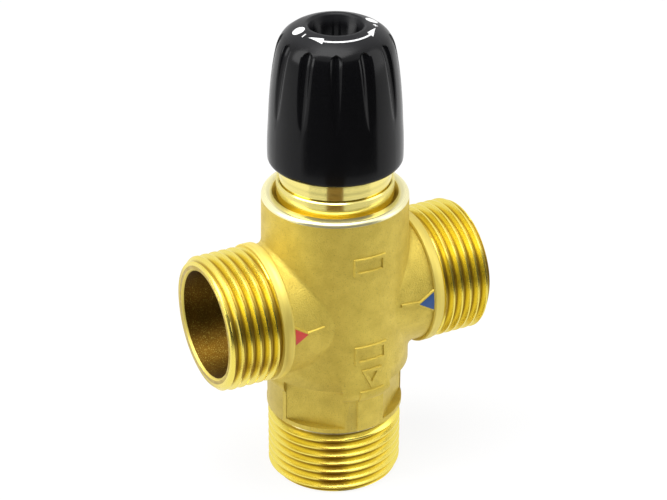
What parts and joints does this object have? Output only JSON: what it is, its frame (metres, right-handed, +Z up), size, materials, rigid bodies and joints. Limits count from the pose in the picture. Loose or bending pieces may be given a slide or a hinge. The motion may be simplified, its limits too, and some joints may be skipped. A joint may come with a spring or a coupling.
{
  "type": "thermostatic mixing valve",
  "caption": "Three-port mixing valve: threaded hot and cold side inlets, mixed outlet below, fluted setting knob that moves a shuttle between two seats.",
  "frame": {"origin": "centre of the outlet's end face, on which the valve stands", "axes": "+Z up along the spindle, the hot inlet opens to -X and the cold inlet to +X, the marked front faces -Y"},
  "size_m": [0.07, 0.0368, 0.1198],
  "materials": {
    "forged_brass": "sandblasted forging with turned ends",
    "turned_brass": "polished, turned",
    "black_plastic": "satin moulding",
    "seal_rubber": "smooth",
    "spring_steel": "drawn wire",
    "stainless": "machined",
    "element_metal": "drawn copper alloy",
    "white_plastic": "smooth"
  },
  "bodies": {
    "root": {"valve_body": "forged_brass", "bonnet": "turned_brass", "bonnet_seal_ring": "seal_rubber", "hot_seat_ring": "stainless", "spring_guide": "stainless", "outlet_retaining_ring": "spring_steel", "return_spring": "spring_steel"},
    "knob_shaft": {"knob": "black_plastic", "knob_screw": "stainless", "knob_washer": "stainless", "spindle": "turned_brass", "spindle_seal_lower": "seal_rubber", "spindle_seal_upper": "seal_rubber", "spindle_clip": "spring_steel", "thrust_washer": "white_plastic"},
    "adjuster": {"adjuster_sleeve": "turned_brass", "adjuster_clip": "spring_steel", "overtravel_spring": "spring_steel"},
    "pusher": {"pressure_cup": "turned_brass", "element_pin": "stainless"},
    "slide": {"shuttle": "turned_brass", "shuttle_seal": "seal_rubber", "element_cup": "element_metal", "element_guide": "turned_brass", "element_clip": "spring_steel"}
  },
  "joints": [
    {"name": "knob_turn", "type": "hinge", "parent": "root", "child": "knob_shaft", "pos_m": [0, 0, 0.09], "axis": [0, 0, 1], "range_deg": [-300, 300]},
    {"name": "adjuster_travel", "type": "slide", "parent": "root", "child": "adjuster", "axis": [0, 0, 1], "range_m": [-0.00126, 0.00126]},
    {"name": "overtravel", "type": "slide", "parent": "adjuster", "child": "pusher", "axis": [0, 0, 1], "range_m": [0, 0.0025], "stiffness_N_per_m": 4000, "springref_m": -0.004, "deforming": ["overtravel_spring"]},
    {"name": "thermal_stroke", "type": "slide", "parent": "root", "child": "slide", "axis": [0, 0, 1], "range_m": [-0.0009, 0.0009], "stiffness_N_per_m": 3000, "springref_m": 0.00016, "deforming": ["return_spring"]}
  ],
  "couplings": [
    {"joint": "adjuster_travel", "follows": "knob_turn", "m_per_rad": 0.00023873}
  ]
}
